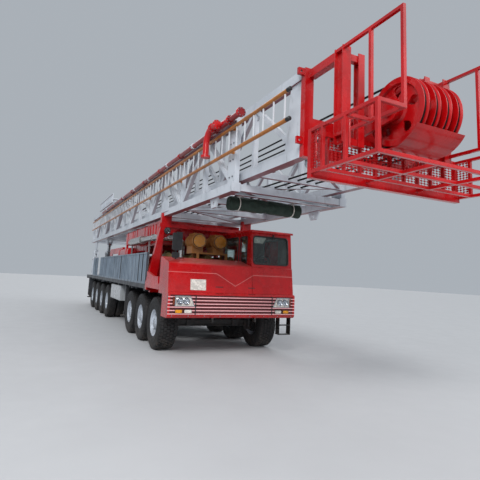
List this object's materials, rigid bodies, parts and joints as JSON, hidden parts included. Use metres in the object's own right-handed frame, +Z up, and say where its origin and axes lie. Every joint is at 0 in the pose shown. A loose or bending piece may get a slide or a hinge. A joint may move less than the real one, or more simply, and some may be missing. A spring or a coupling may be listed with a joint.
{
  "type": "mast-type workover rig on a seven-axle carrier",
  "caption": "Self-propelled workover rig: carrier with steered front axles and a low side cab, and a telescoping lattice mast with crown platform lying over the cab.",
  "frame": {"origin": "on the ground under the middle of the bounding box", "axes": "+X to the vehicle's left, -Y to its front, +Z up"},
  "size_m": [3.1, 22.26, 4.9503],
  "materials": {
    "red_paint": "gloss",
    "dark_red_paint": "gloss",
    "white_paint": "gloss",
    "panel_grey": "satin",
    "frame_black": "satin",
    "deck_grey": "satin",
    "steel": "satin",
    "silver": "satin",
    "ochre_paint": "satin",
    "amber_paint": "satin",
    "engine_grey": "satin",
    "glass": "gloss",
    "lamp_glass": "gloss",
    "interior": "matte",
    "canvas": "matte",
    "tyre": "matte"
  },
  "bodies": {
    "root": {"chassis": "frame_black", "deck": "deck_grey", "nose": "red_paint", "lamps": "lamp_glass", "cab": "red_paint", "cab_glass": "glass", "cab_interior": "interior", "engines": "engine_grey", "air_cleaners": "ochre_paint", "radiators": "red_paint", "exhausts": "silver", "mast_rest": "red_paint", "drawworks": "red_paint", "tanks": "red_paint", "axles": "frame_black", "mast_base": "white_paint", "mirror_right": "interior"},
    "cab_door": {"cab_door": "red_paint"},
    "main_drum": {"main_drum": "steel"},
    "walkway_right": {"walkway_right": "panel_grey"},
    "walkway_left": {"walkway_left": "panel_grey"},
    "mast": {"mast_side_right": "white_paint", "mast_side_left": "white_paint", "mast_back": "white_paint", "standpipe": "dark_red_paint", "ladder": "amber_paint", "tarpaulin": "canvas"},
    "mast_upper": {"mast_top_right": "white_paint", "mast_top_left": "white_paint", "mast_top_back": "white_paint", "crown": "red_paint"},
    "crown_sheaves": {"crown_sheaves": "red_paint"},
    "monkey_board": {"monkey_board": "white_paint"},
    "lift_barrel": {"lift_barrels": "steel"},
    "lift_stage": {"lift_stages": "steel"},
    "lift_rod": {"lift_rods": "steel"},
    "jack_foot_front_right": {"jack_foot_front_right": "frame_black"},
    "jack_foot_front_left": {"jack_foot_front_left": "frame_black"},
    "jack_foot_rear_right": {"jack_foot_rear_right": "frame_black"},
    "jack_foot_rear_left": {"jack_foot_rear_left": "frame_black"},
    "knuckle_1_right": {"knuckle_1_right": "frame_black"},
    "wheel_1_right": {"wheel_1_right": "tyre"},
    "knuckle_1_left": {"knuckle_1_left": "frame_black"},
    "wheel_1_left": {"wheel_1_left": "tyre"},
    "knuckle_2_right": {"knuckle_2_right": "frame_black"},
    "wheel_2_right": {"wheel_2_right": "tyre"},
    "knuckle_2_left": {"knuckle_2_left": "frame_black"},
    "wheel_2_left": {"wheel_2_left": "tyre"},
    "knuckle_3_right": {"knuckle_3_right": "frame_black"},
    "wheel_3_right": {"wheel_3_right": "tyre"},
    "knuckle_3_left": {"knuckle_3_left": "frame_black"},
    "wheel_3_left": {"wheel_3_left": "tyre"},
    "wheel_4_right": {"wheel_4_right": "tyre"},
    "wheel_4_left": {"wheel_4_left": "tyre"},
    "wheel_5_right": {"wheel_5_right": "tyre"},
    "wheel_5_left": {"wheel_5_left": "tyre"},
    "wheel_6_right": {"wheel_6_right": "tyre"},
    "wheel_6_left": {"wheel_6_left": "tyre"},
    "wheel_7_right": {"wheel_7_right": "tyre"},
    "wheel_7_left": {"wheel_7_left": "tyre"}
  },
  "joints": [
    {"name": "mast_raise", "type": "hinge", "parent": "root", "child": "mast", "pos_m": [0, 9.53, 2.6], "axis": [-1, 0, 0], "range_deg": [0, 93.5]},
    {"name": "mast_extend", "type": "slide", "parent": "mast", "child": "mast_upper", "axis": [0, -1, 0], "range_m": [0, 14]},
    {"name": "monkey_board_fold", "type": "hinge", "parent": "mast_upper", "child": "monkey_board", "pos_m": [0, 4.13, 4.7], "axis": [1, 0, 0], "range_deg": [0, 90]},
    {"name": "crown_sheaves_spin", "type": "hinge", "parent": "mast_upper", "child": "crown_sheaves", "pos_m": [0, -10.42, 3.85], "axis": [1, 0, 0], "continuous": true},
    {"name": "main_drum_spin", "type": "hinge", "parent": "root", "child": "main_drum", "pos_m": [0, 3.53, 2.05], "axis": [1, 0, 0], "continuous": true},
    {"name": "cab_door_swing", "type": "hinge", "parent": "root", "child": "cab_door", "pos_m": [1.535, -4.855, 2], "axis": [0, 0, -1], "range_deg": [0, 75]},
    {"name": "walkway_right_fold", "type": "hinge", "parent": "root", "child": "walkway_right", "pos_m": [-1.55, 1.53, 1.44], "axis": [0, -1, 0], "range_deg": [0, 90]},
    {"name": "walkway_left_fold", "type": "hinge", "parent": "root", "child": "walkway_left", "pos_m": [1.55, 1.53, 1.44], "axis": [0, 1, 0], "range_deg": [0, 90]},
    {"name": "lift_tilt", "type": "hinge", "parent": "root", "child": "lift_barrel", "pos_m": [0, 7.8932, 0.84475], "axis": [-1, 0, 0], "range_deg": [0, 46.75]},
    {"name": "lift_stage_slide", "type": "slide", "parent": "lift_barrel", "child": "lift_stage", "axis": [0, -0.3297, 0.9441], "range_m": [0, 1.195]},
    {"name": "lift_rod_slide", "type": "slide", "parent": "lift_stage", "child": "lift_rod", "axis": [0, -0.3297, 0.9441], "range_m": [0, 1.195]},
    {"name": "jack_front_right_slide", "type": "slide", "parent": "root", "child": "jack_foot_front_right", "axis": [0, 0, -1], "range_m": [0, 0.335]},
    {"name": "jack_front_left_slide", "type": "slide", "parent": "root", "child": "jack_foot_front_left", "axis": [0, 0, -1], "range_m": [0, 0.335]},
    {"name": "jack_rear_right_slide", "type": "slide", "parent": "root", "child": "jack_foot_rear_right", "axis": [0, 0, -1], "range_m": [0, 0.335]},
    {"name": "jack_rear_left_slide", "type": "slide", "parent": "root", "child": "jack_foot_rear_left", "axis": [0, 0, -1], "range_m": [0, 0.335]},
    {"name": "steer_1_right", "type": "hinge", "parent": "root", "child": "knuckle_1_right", "pos_m": [-1.01, -4.19, 0.59], "axis": [0, 0, 1], "range_deg": [-27, 27]},
    {"name": "wheel_1_right_spin", "type": "hinge", "parent": "knuckle_1_right", "child": "wheel_1_right", "pos_m": [-1.27, -4.19, 0.59], "axis": [1, 0, 0], "continuous": true},
    {"name": "steer_1_left", "type": "hinge", "parent": "root", "child": "knuckle_1_left", "pos_m": [1.01, -4.19, 0.59], "axis": [0, 0, 1], "range_deg": [-27, 27]},
    {"name": "wheel_1_left_spin", "type": "hinge", "parent": "knuckle_1_left", "child": "wheel_1_left", "pos_m": [1.27, -4.19, 0.59], "axis": [1, 0, 0], "continuous": true},
    {"name": "steer_2_right", "type": "hinge", "parent": "root", "child": "knuckle_2_right", "pos_m": [-1.01, -2.84, 0.59], "axis": [0, 0, 1], "range_deg": [-21, 21]},
    {"name": "wheel_2_right_spin", "type": "hinge", "parent": "knuckle_2_right", "child": "wheel_2_right", "pos_m": [-1.27, -2.84, 0.59], "axis": [1, 0, 0], "continuous": true},
    {"name": "steer_2_left", "type": "hinge", "parent": "root", "child": "knuckle_2_left", "pos_m": [1.01, -2.84, 0.59], "axis": [0, 0, 1], "range_deg": [-21, 21]},
    {"name": "wheel_2_left_spin", "type": "hinge", "parent": "knuckle_2_left", "child": "wheel_2_left", "pos_m": [1.27, -2.84, 0.59], "axis": [1, 0, 0], "continuous": true},
    {"name": "steer_3_right", "type": "hinge", "parent": "root", "child": "knuckle_3_right", "pos_m": [-1.01, -1.49, 0.59], "axis": [0, 0, 1], "range_deg": [-15, 15]},
    {"name": "wheel_3_right_spin", "type": "hinge", "parent": "knuckle_3_right", "child": "wheel_3_right", "pos_m": [-1.27, -1.49, 0.59], "axis": [1, 0, 0], "continuous": true},
    {"name": "steer_3_left", "type": "hinge", "parent": "root", "child": "knuckle_3_left", "pos_m": [1.01, -1.49, 0.59], "axis": [0, 0, 1], "range_deg": [-15, 15]},
    {"name": "wheel_3_left_spin", "type": "hinge", "parent": "knuckle_3_left", "child": "wheel_3_left", "pos_m": [1.27, -1.49, 0.59], "axis": [1, 0, 0], "continuous": true},
    {"name": "wheel_4_right_spin", "type": "hinge", "parent": "root", "child": "wheel_4_right", "pos_m": [-1.175, 2.68, 0.59], "axis": [1, 0, 0], "continuous": true},
    {"name": "wheel_4_left_spin", "type": "hinge", "parent": "root", "child": "wheel_4_left", "pos_m": [1.175, 2.68, 0.59], "axis": [1, 0, 0], "continuous": true},
    {"name": "wheel_5_right_spin", "type": "hinge", "parent": "root", "child": "wheel_5_right", "pos_m": [-1.175, 4.03, 0.59], "axis": [1, 0, 0], "continuous": true},
    {"name": "wheel_5_left_spin", "type": "hinge", "parent": "root", "child": "wheel_5_left", "pos_m": [1.175, 4.03, 0.59], "axis": [1, 0, 0], "continuous": true},
    {"name": "wheel_6_right_spin", "type": "hinge", "parent": "root", "child": "wheel_6_right", "pos_m": [-1.175, 5.38, 0.59], "axis": [1, 0, 0], "continuous": true},
    {"name": "wheel_6_left_spin", "type": "hinge", "parent": "root", "child": "wheel_6_left", "pos_m": [1.175, 5.38, 0.59], "axis": [1, 0, 0], "continuous": true},
    {"name": "wheel_7_right_spin", "type": "hinge", "parent": "root", "child": "wheel_7_right", "pos_m": [-1.175, 6.73, 0.59], "axis": [1, 0, 0], "continuous": true},
    {"name": "wheel_7_left_spin", "type": "hinge", "parent": "root", "child": "wheel_7_left", "pos_m": [1.175, 6.73, 0.59], "axis": [1, 0, 0], "continuous": true}
  ],
  "couplings": [
    {"joint": "steer_1_right", "follows": "steer_1_left", "ratio": 1},
    {"joint": "steer_2_right", "follows": "steer_1_left", "ratio": 0.77778},
    {"joint": "steer_2_left", "follows": "steer_1_left", "ratio": 0.77778},
    {"joint": "steer_3_right", "follows": "steer_1_left", "ratio": 0.55556},
    {"joint": "steer_3_left", "follows": "steer_1_left", "ratio": 0.55556},
    {"joint": "lift_tilt", "follows": "mast_raise", "ratio": 0.5},
    {"joint": "lift_stage_slide", "follows": "mast_raise", "m_per_rad": 0.73228},
    {"joint": "lift_rod_slide", "follows": "mast_raise", "m_per_rad": 0.73228}
  ]
}
